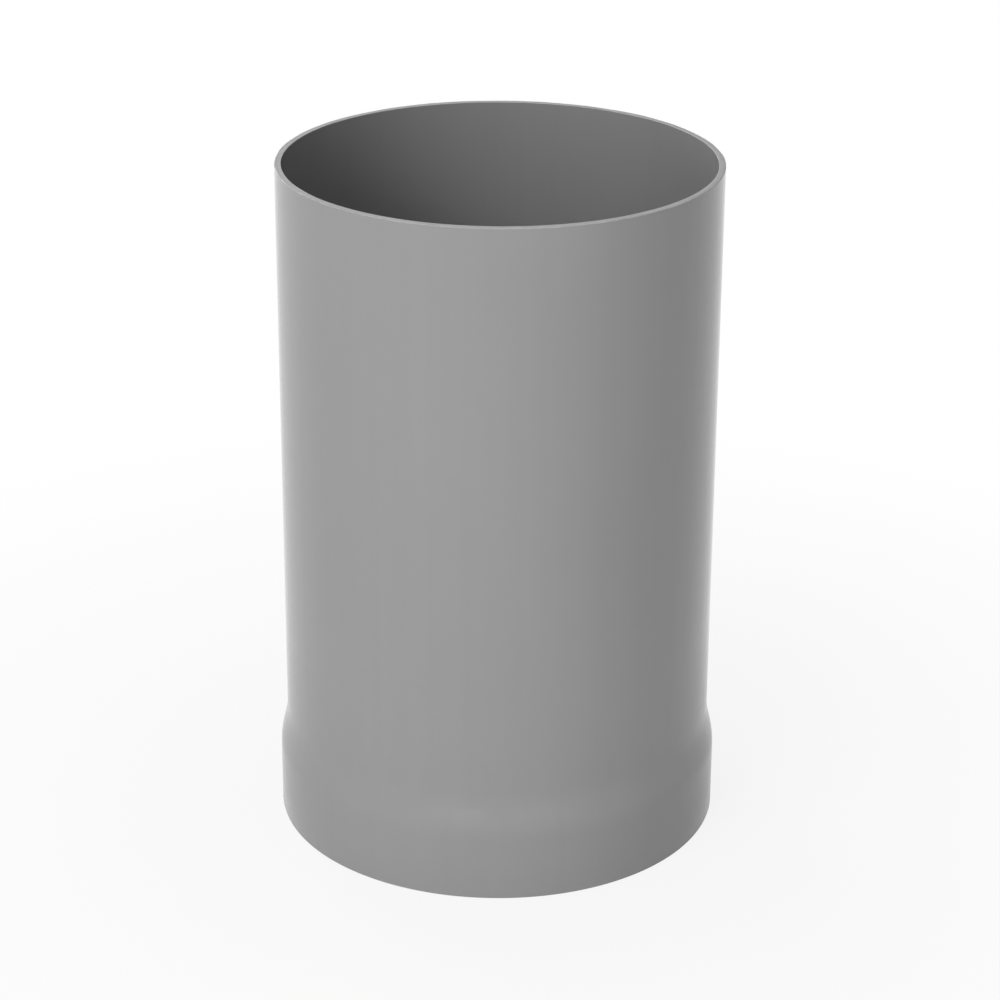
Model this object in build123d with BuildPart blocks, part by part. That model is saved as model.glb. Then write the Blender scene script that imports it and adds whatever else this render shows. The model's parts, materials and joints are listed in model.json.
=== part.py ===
"""Gully riser ring: a short length of grey plastic pipe that lifts a floor or yard gully to level.

One formed piece. The barrel is plain pipe, sawn square at the top, where the next piece slides over
it or into it. The foot is the same wall, heated and expanded into a short socket that slips over the
pipe below. A smooth shoulder joins the two: a hollow curve off the barrel, a short straight flank
and a round curve into the socket. Inside, that shoulder is the stop for the pipe that goes in.

The origin is on the axis, in the plane of the foot, and Z runs up the pipe. Sizes are millimetres.
"""

import os
from math import radians, tan

from build123d import *

# The pipe
pipe_diameter = 200.0
wall = 3.0
overall_length = 316.0

# The socket: its straight depth from the mouth, and the gap round the pipe that goes in
socket_depth = 30.0
socket_clearance = 0.4

# The shoulder: the flank's angle to the axis, and the outside radii at its two ends
flank_angle = 13.2
neck_radius = 40.0
bell_radius = 32.0

# The edges: the deburred saw cut, the foot's outer round and the mouth's lead-in
rim_break = 0.3
foot_round = 0.5
lead_in_length = 2.0
lead_in_depth = 1.0

# Outside radii, and the heights of the two corners that the shoulder's curves round off
barrel_outer = pipe_diameter / 2
socket_bore = barrel_outer + socket_clearance
socket_outer = socket_bore + wall
bell_corner = socket_depth + bell_radius * tan(radians(flank_angle) / 2)
neck_corner = bell_corner + (socket_outer - barrel_outer) / tan(radians(flank_angle))

os.makedirs("parts", exist_ok=True)

with BuildPart() as riser_ring:
    # The wall's section is its outside line, from the rim to the foot, and the same line a wall inside
    with BuildSketch(Plane.XZ):
        with BuildLine():
            FilletPolyline(
                (barrel_outer, overall_length),
                (barrel_outer, neck_corner),
                (socket_outer, bell_corner),
                (socket_outer, 0),
                radius=[neck_radius, bell_radius],
            )
            offset(amount=wall, side=Side.RIGHT)
        make_face()
    revolve(axis=Axis.Z)

    # The saw cut is deburred inside and out
    rim_face = riser_ring.faces().sort_by(Axis.Z)[-1]
    chamfer(rim_face.edges(), length=rim_break)

    # The mouth opens towards the pipe below
    foot_face = riser_ring.faces().sort_by(Axis.Z)[0]
    mouth_edge = foot_face.edges().sort_by(SortBy.RADIUS)[0]
    chamfer(mouth_edge, length=lead_in_depth, length2=lead_in_length, reference=foot_face)

    # The foot's outer edge is rounded
    foot_face = riser_ring.faces().sort_by(Axis.Z)[0]
    fillet(foot_face.edges().sort_by(SortBy.RADIUS)[-1], radius=foot_round)

riser_ring.part.label = "riser_ring"
export_step(riser_ring.part, "parts/riser_ring.step")
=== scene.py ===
"""The looks of a gully riser ring: satin grey pipe plastic with a sawn rim, standing on a white studio floor.

The ring is one piece. Its mesh is the CAD section, turned about the axis, with what a real pipe has on
top of the drawing: faint draw lines up the wall, a saw's marks on the cut faces and an uneven deburr.
Metres throughout, in the frame's axes: Z runs up the pipe from the foot.
"""

import json
from math import cos, pi, radians, sin, tan

import bpy
from mathutils import Matrix, Vector, noise


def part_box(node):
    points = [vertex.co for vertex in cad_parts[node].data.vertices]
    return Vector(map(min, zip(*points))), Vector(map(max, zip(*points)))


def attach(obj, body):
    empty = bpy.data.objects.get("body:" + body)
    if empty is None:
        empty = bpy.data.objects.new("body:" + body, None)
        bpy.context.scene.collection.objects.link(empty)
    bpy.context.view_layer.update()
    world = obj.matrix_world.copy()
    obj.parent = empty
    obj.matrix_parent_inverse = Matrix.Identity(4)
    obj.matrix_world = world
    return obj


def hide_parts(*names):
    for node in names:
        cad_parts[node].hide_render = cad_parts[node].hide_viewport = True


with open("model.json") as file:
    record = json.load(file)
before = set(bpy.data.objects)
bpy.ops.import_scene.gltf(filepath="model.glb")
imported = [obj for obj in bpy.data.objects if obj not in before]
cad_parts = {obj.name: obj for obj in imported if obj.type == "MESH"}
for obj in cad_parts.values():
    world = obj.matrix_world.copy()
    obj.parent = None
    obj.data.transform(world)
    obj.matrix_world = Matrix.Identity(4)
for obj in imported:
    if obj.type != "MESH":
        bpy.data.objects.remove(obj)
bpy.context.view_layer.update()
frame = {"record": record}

NODE = "riser_ring"
BODY = "root"
MM = 0.001

# The ring's sizes, from the frame
mounts = {mount["name"]: mount for mount in frame["record"]["mounts"]}
node_low, node_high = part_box(NODE)
HEIGHT = node_high.z
BARREL_OUTER = mounts["spigot"]["dims"]["r_mm"] * MM
BARREL_BORE = mounts["barrel_bore"]["dims"]["r_mm"] * MM
SOCKET_BORE = mounts["socket_bore"]["dims"]["r_mm"] * MM
SOCKET_OUTER = min(-node_low.x, node_high.x, -node_low.y, node_high.y)
SOCKET_DEPTH = mounts["socket_bore"]["pos_m"][2] + mounts["socket_bore"]["dims"]["length_mm"] / 2 * MM
WALL = BARREL_OUTER - BARREL_BORE

# The shoulder and the edges, as on the drawing
FLANK_ANGLE = radians(13.2)
NECK_RADIUS = 40.0 * MM
BELL_RADIUS = 32.0 * MM
RIM_BREAK = 0.3 * MM
FOOT_ROUND = 0.5 * MM
LEAD_IN_LENGTH = 2.0 * MM
LEAD_IN_DEPTH = 1.0 * MM

# The mesh: columns round the axis, and the steps along straight walls and across the cut faces
COLUMNS = 720
WALL_STEP = 12.0 * MM
CUT_STEP = 0.3 * MM

# The surface, beyond the drawing
DRAW_WAVE = 0.02 * MM
SAW_MARK = 0.04 * MM
DEBURR_UNEVEN = 0.8

# The view: a long lens above and in front of the ring
SENSOR = 36.0
LENS = 104.9
CAMERA_AT = Vector((0.0008, -1.2483, 0.6806))
CAMERA_DOWN = radians(22.94)
CAMERA_ROLL = radians(0.317)

# The studio: the floor's size, and the light that comes evenly from all round
FLOOR_RADIUS = 6.0
FLOOR_GAP = 0.1 * MM
AMBIENT = 0.2

# Soft panels that face the ring. Each has its place about a point low on the ring's axis, in degrees to
# the right of the camera's side, degrees up and metres out, then its width, its height and its watts.
LIGHT_CENTRE = Vector((0, 0, 0.1))
LIGHTS = {
    "left_high": (-38, 40, 2.2, 1.2, 1.2, 17.8),
    "front_low": (-18, 12, 2.2, 1.2, 1.2, 15.2),
    "rear_left": (-150, 12, 2.2, 1.2, 1.2, 25.8),
    "right_card": (30, 1.4, 1.2, 1.0, 0.24, 1.1),
    "rear_card": (150, 1.4, 1.2, 1.0, 0.24, 3.3),
    "top": (0, 89.9, 2.2, 1.2, 1.2, 2.2),
}


def arc(centre, radius, start, end, steps):
    """Points (r, z) on an arc about centre, from one angle to the other, both in radians from +r."""
    angles = [start + (end - start) * i / steps for i in range(steps + 1)]
    return [(centre[0] + radius * cos(a), centre[1] + radius * sin(a)) for a in angles]


def line(start, end, step):
    """Points (r, z) along a straight line, about step apart."""
    length = (Vector(end) - Vector(start)).length
    count = max(1, round(length / step))
    return [tuple(Vector(start).lerp(Vector(end), i / count)) for i in range(count + 1)]


def wall_line(barrel, socket, neck_radius, bell_radius, bottom):
    """One face of the wall, from the deburred rim down through the shoulder's two curves."""
    bell_corner = SOCKET_DEPTH + BELL_RADIUS * tan(FLANK_ANGLE / 2)
    neck_corner = bell_corner + (SOCKET_OUTER - BARREL_OUTER) / tan(FLANK_ANGLE)
    neck_centre = (BARREL_OUTER + NECK_RADIUS, neck_corner + NECK_RADIUS * tan(FLANK_ANGLE / 2))
    bell_centre = (SOCKET_OUTER - BELL_RADIUS, SOCKET_DEPTH)
    neck = arc(neck_centre, neck_radius, pi, pi + FLANK_ANGLE, 14)
    bell = arc(bell_centre, bell_radius, FLANK_ANGLE, 0, 12)
    return [
        *line((barrel, HEIGHT - RIM_BREAK), neck[0], WALL_STEP)[:-1],
        *neck,
        *bell,
        *line(bell[-1], (socket, bottom), WALL_STEP)[1:],
    ]


def section():
    """The wall's closed section as rows (r, z, surface below the row), in order from the rim's outer edge."""
    outside = wall_line(BARREL_OUTER, SOCKET_OUTER, NECK_RADIUS, BELL_RADIUS, FOOT_ROUND)
    inside = wall_line(BARREL_BORE, SOCKET_BORE, NECK_RADIUS + WALL, BELL_RADIUS - WALL, LEAD_IN_LENGTH)
    foot_outer = SOCKET_OUTER - FOOT_ROUND
    mouth = SOCKET_BORE + LEAD_IN_DEPTH
    rim = line((BARREL_BORE + RIM_BREAK, HEIGHT), (BARREL_OUTER - RIM_BREAK, HEIGHT), CUT_STEP)
    stretches = [
        ("cut", [rim[-1], outside[0]]),
        ("wall", outside),
        ("wall", arc((foot_outer, FOOT_ROUND), FOOT_ROUND, 0, -pi / 2, 4)),
        ("cut", line((foot_outer, 0), (mouth, 0), CUT_STEP)),
        ("cut", [(mouth, 0), (SOCKET_BORE, LEAD_IN_LENGTH)]),
        ("wall", inside[::-1]),
        ("cut", [inside[0], rim[0]]),
        ("cut", rim),
    ]
    return [(r, z, surface) for surface, points in stretches for r, z in points[:-1]]


def round_noise(angle, z, scale, seed):
    """A smooth value, mostly within -1 and 1, that runs round the ring without a seam."""
    return 1.6 * noise.noise(Vector((scale * cos(angle), scale * sin(angle), z + seed)))


def draw_lines(angle, z, seed):
    """How far the die's draw lines sink into the wall here: they run up the pipe and hardly change along it."""
    fine = round_noise(angle, 2 * z, 30, seed)
    broad = round_noise(angle, 3 * z, 5, seed)
    return DRAW_WAVE * (0.5 + 0.15 * fine + 0.35 * broad)


def deburr_width(angle, seed):
    """The scraped edge's width against the drawing's: it wanders, and here and there the scraper skips."""
    wander = round_noise(angle, 0, 7, seed)
    chatter = round_noise(angle, 0, 45, seed)
    return max(0.25, 1 + DEBURR_UNEVEN * (0.6 * wander + 0.4 * chatter))


def worn(r, z, angle):
    """Where the section's point (r, z) lies on the real ring, at this angle round it."""
    for corner_r, share, seed in ((BARREL_OUTER, 1.1, 11), (BARREL_BORE, 0.5, 12)):
        corner = Vector((corner_r, HEIGHT))
        offset = Vector((r, z)) - corner
        if offset.length < 1.1 * RIM_BREAK:
            r, z = corner + offset * share * deburr_width(angle, seed)
    middle = BARREL_OUTER - WALL / 2 + max(0, SOCKET_OUTER - BARREL_OUTER) * (z < SOCKET_DEPTH)
    if r > middle + WALL / 4:
        r -= draw_lines(angle, z, 21)
    if r < middle - WALL / 4:
        r += draw_lines(angle, z, 22)
    if z > HEIGHT - RIM_BREAK / 2:
        z -= SAW_MARK * max(0, 0.5 + 0.5 * round_noise(angle, 2 * r / MM, 9, 31))
    return r, z


def ring_mesh():
    """The section turned about the axis, with what real pipe has on its walls and edges."""
    rows = section()
    vertices = []
    for r, z, surface in rows:
        for column in range(COLUMNS):
            angle = 2 * pi * column / COLUMNS
            real_r, real_z = worn(r, z, angle)
            vertices.append((real_r * cos(angle), real_r * sin(angle), real_z))
    faces = []
    slots = []
    for row, (r, z, surface) in enumerate(rows):
        here = row * COLUMNS
        below = (row + 1) % len(rows) * COLUMNS
        for column in range(COLUMNS):
            after = (column + 1) % COLUMNS
            faces.append((here + column, below + column, below + after, here + after))
            slots.append(0 if surface == "wall" else 1)
    mesh = bpy.data.meshes.new("pipe_wall")
    mesh.from_pydata(vertices, [], faces)
    mesh.polygons.foreach_set("material_index", slots)
    mesh.shade_smooth()
    mesh.set_sharp_from_angle(angle=radians(30))
    mesh.update()
    return mesh


class Shader:
    """A new material, or the world, and short ways to add its nodes."""

    def __init__(self, owner):
        owner.use_nodes = True
        self.tree = owner.node_tree
        self.tree.nodes.clear()

    def node(self, kind, inputs=None, **settings):
        """Adds a node, with its settings, and fills its inputs, by name or number, with values or outputs."""
        node = self.tree.nodes.new(kind)
        for name, value in settings.items():
            setattr(node, name, value)
        for key, value in (inputs or {}).items():
            if isinstance(value, bpy.types.NodeSocket):
                self.tree.links.new(value, node.inputs[key])
            else:
                node.inputs[key].default_value = value
        return node

    def math(self, operation, *values, clamp=False):
        """One sum on numbers or outputs."""
        return self.node("ShaderNodeMath", dict(enumerate(values)), operation=operation, use_clamp=clamp).outputs[0]

    def scaled(self, *scale):
        """The point's own place on the object, in metres, times a scale for each axis."""
        place = self.node("ShaderNodeTexCoord").outputs["Object"]
        return self.node("ShaderNodeVectorMath", {0: place, 1: scale}, operation="MULTIPLY").outputs[0]

    def noise(self, vector, detail=3.0, roughness=0.5):
        """Noise from 0 to 1 over that vector."""
        inputs = {"Vector": vector, "Scale": 1.0, "Detail": detail, "Roughness": roughness}
        return self.node("ShaderNodeTexNoise", inputs).outputs["Fac"]

    def spread(self, value, low, high, start=0.3, end=0.7):
        """A value from start to end, spread over low to high."""
        inputs = {"Value": value, "From Min": start, "From Max": end, "To Min": low, "To Max": high}
        return self.node("ShaderNodeMapRange", inputs).outputs[0]

    def bump(self, height, distance, strength=1.0, normal=None):
        """A normal from a height of 0 to 1, which stands for distance in metres."""
        inputs = {"Height": height, "Distance": distance, "Strength": strength}
        if normal:
            inputs["Normal"] = normal
        return self.node("ShaderNodeBump", inputs).outputs[0]

    def grey(self, value):
        """A neutral colour of that value."""
        return self.node("ShaderNodeCombineColor", {0: value, 1: value, 2: value}).outputs[0]

    def surface(self, shader):
        """Ends the tree with this shader."""
        kind = "ShaderNodeOutputWorld" if isinstance(self.tree.id_data, bpy.types.World) else "ShaderNodeOutputMaterial"
        self.node(kind, {"Surface": shader})


def pipe_plastic():
    """Extruded grey PVC: satin, with draw lines up the pipe, faint clouding and a few handling rubs."""
    material = bpy.data.materials.new("satin_grey_pvc")
    shader = Shader(material)
    streaks = shader.noise(shader.scaled(150, 150, 2), detail=3)
    clouds = shader.noise(shader.scaled(14, 14, 9), detail=3)
    rubs = shader.noise(shader.scaled(40, 40, 90), detail=5, roughness=0.7)
    grain = shader.noise(shader.scaled(2600, 2600, 2600), detail=2)
    tone = shader.math("ADD", shader.spread(clouds, -0.004, 0.004), shader.spread(streaks, -0.003, 0.003))
    tone = shader.math("ADD", tone, shader.spread(grain, -0.003, 0.003))
    colour = shader.grey(shader.math("ADD", tone, 0.30))
    rough = shader.math("ADD", shader.spread(clouds, 0.09, 0.12), shader.spread(rubs, 0.0, 0.04, 0.4, 0.75))
    lines = shader.bump(streaks, 0.004 * MM)
    normal = shader.bump(grain, 0.0015 * MM, normal=lines)
    inputs = {"Base Color": colour, "Roughness": rough, "Normal": normal, "IOR": 1.52}
    shader.surface(shader.node("ShaderNodeBsdfPrincipled", inputs).outputs[0])
    return material


def cut_plastic():
    """Sawn and scraped PVC: paler and duller than the skin, scored along the cut, palest at the bore."""
    material = bpy.data.materials.new("sawn_grey_pvc")
    shader = Shader(material)
    flat = shader.scaled(1, 1, 0)
    radius = shader.node("ShaderNodeVectorMath", {0: flat}, operation="LENGTH").outputs["Value"]
    round_the_cut = shader.node("ShaderNodeSeparateXYZ", {0: shader.scaled(60, 60, 0)}).outputs
    across_the_cut = shader.math("MULTIPLY", radius, 4000.0)
    track = {0: round_the_cut[0], 1: round_the_cut[1], 2: across_the_cut}
    scores = shader.noise(shader.node("ShaderNodeCombineXYZ", track).outputs[0], detail=4, roughness=0.7)
    patches = shader.noise(shader.scaled(160, 160, 160), detail=5, roughness=0.65)
    tone = shader.math("ADD", shader.spread(scores, -0.04, 0.04), shader.spread(patches, -0.07, 0.05))
    tone = shader.math("ADD", tone, shader.spread(radius, 0.55, 0.45, BARREL_BORE, BARREL_OUTER))
    rough = shader.spread(patches, 0.5, 0.7)
    normal = shader.bump(scores, 0.06 * MM)
    inputs = {"Base Color": shader.grey(tone), "Roughness": rough, "Normal": normal, "IOR": 1.52}
    shader.surface(shader.node("ShaderNodeBsdfPrincipled", inputs).outputs[0])
    return material


def seen_directly(shader, by_camera=1.0, by_mirror=1.0):
    """The shares for rays from the camera and for those off or through a body, and 0 for plain light."""
    path = shader.node("ShaderNodeLightPath").outputs
    camera = shader.math("MULTIPLY", path["Is Camera Ray"], by_camera)
    mirror = shader.math("ADD", path["Is Glossy Ray"], path["Is Transmission Ray"], clamp=True)
    return shader.math("ADD", camera, shader.math("MULTIPLY", mirror, by_mirror), clamp=True)


def floor_paper():
    """White studio paper: it keeps the ring's shadow near the ring and melts into the white beyond."""
    material = bpy.data.materials.new("white_paper")
    shader = Shader(material)
    fibres = shader.noise(shader.scaled(900, 900, 900), detail=3)
    colour = shader.grey(shader.spread(fibres, 0.79, 0.81))
    paper = shader.node("ShaderNodeBsdfDiffuse", {"Color": colour}).outputs[0]
    white = shader.node("ShaderNodeEmission", {"Color": (1, 1, 1, 1), "Strength": 1.0}).outputs[0]
    distance = shader.node("ShaderNodeVectorMath", {0: shader.scaled(1, 1, 0)}, operation="LENGTH").outputs["Value"]
    by_camera = shader.spread(distance, 0.86, 1.0, 0.1, 0.5)
    by_mirror = shader.spread(distance, 0.5, 1.0, 0.1, 0.25)
    share = seen_directly(shader, by_camera, by_mirror)
    shader.surface(shader.node("ShaderNodeMixShader", {0: share, 1: paper, 2: white}).outputs[0])
    return material


def light_world():
    """White wherever it is seen or mirrored, and an even soft light from all round."""
    world = bpy.data.worlds.new("studio")
    shader = Shader(world)
    white = shader.node("ShaderNodeBackground", {"Color": (1, 1, 1, 1), "Strength": 1.0}).outputs[0]
    soft = shader.node("ShaderNodeBackground", {"Color": (1, 1, 1, 1), "Strength": AMBIENT}).outputs[0]
    shader.surface(shader.node("ShaderNodeMixShader", {0: seen_directly(shader), 1: soft, 2: white}).outputs[0])
    bpy.context.scene.world = world


def add_object(name, data, matrix=None):
    """A new object of this data, in the scene."""
    item = bpy.data.objects.new(name, data)
    if matrix:
        item.matrix_world = matrix
    bpy.context.scene.collection.objects.link(item)
    return item


def build_ring():
    """The ring itself, in place of its CAD node."""
    mesh = ring_mesh()
    mesh.materials.append(pipe_plastic())
    mesh.materials.append(cut_plastic())
    ring = add_object("riser_ring_wall", mesh)
    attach(ring, BODY)
    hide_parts(NODE)


def build_floor():
    """A wide round sheet just under the foot."""
    edge = [2 * pi * i / 96 for i in range(96)]
    mesh = bpy.data.meshes.new("floor")
    mesh.from_pydata([(FLOOR_RADIUS * cos(a), FLOOR_RADIUS * sin(a), -FLOOR_GAP) for a in edge], [], [range(96)])
    mesh.materials.append(floor_paper())
    add_object("floor", mesh)


def build_lights():
    """The soft lights, each a flat panel that faces the ring's middle."""
    middle = Vector((0, 0, HEIGHT / 2))
    for name, (turn, rise, distance, width, height, power) in LIGHTS.items():
        lamp = bpy.data.lights.new(name, "AREA")
        lamp.shape = "RECTANGLE"
        lamp.size = width
        lamp.size_y = height
        lamp.energy = power
        across = cos(radians(rise))
        way = Vector((across * sin(radians(turn)), -across * cos(radians(turn)), sin(radians(rise))))
        place = LIGHT_CENTRE + distance * way
        facing = (middle - place).to_track_quat("-Z", "Y").to_matrix().to_4x4()
        add_object(name, lamp, Matrix.Translation(place) @ facing)


def build_camera():
    """The photograph's view: level across, looking down at the ring."""
    lens = bpy.data.cameras.new("camera")
    lens.sensor_width = SENSOR
    lens.lens = LENS
    tilt = Matrix.Rotation(pi / 2 - CAMERA_DOWN, 4, "X") @ Matrix.Rotation(CAMERA_ROLL, 4, "Z")
    bpy.context.scene.camera = add_object("camera", lens, Matrix.Translation(CAMERA_AT) @ tilt)


build_ring()
build_floor()
build_lights()
light_world()
build_camera()
bpy.context.scene.view_settings.view_transform = "Standard"
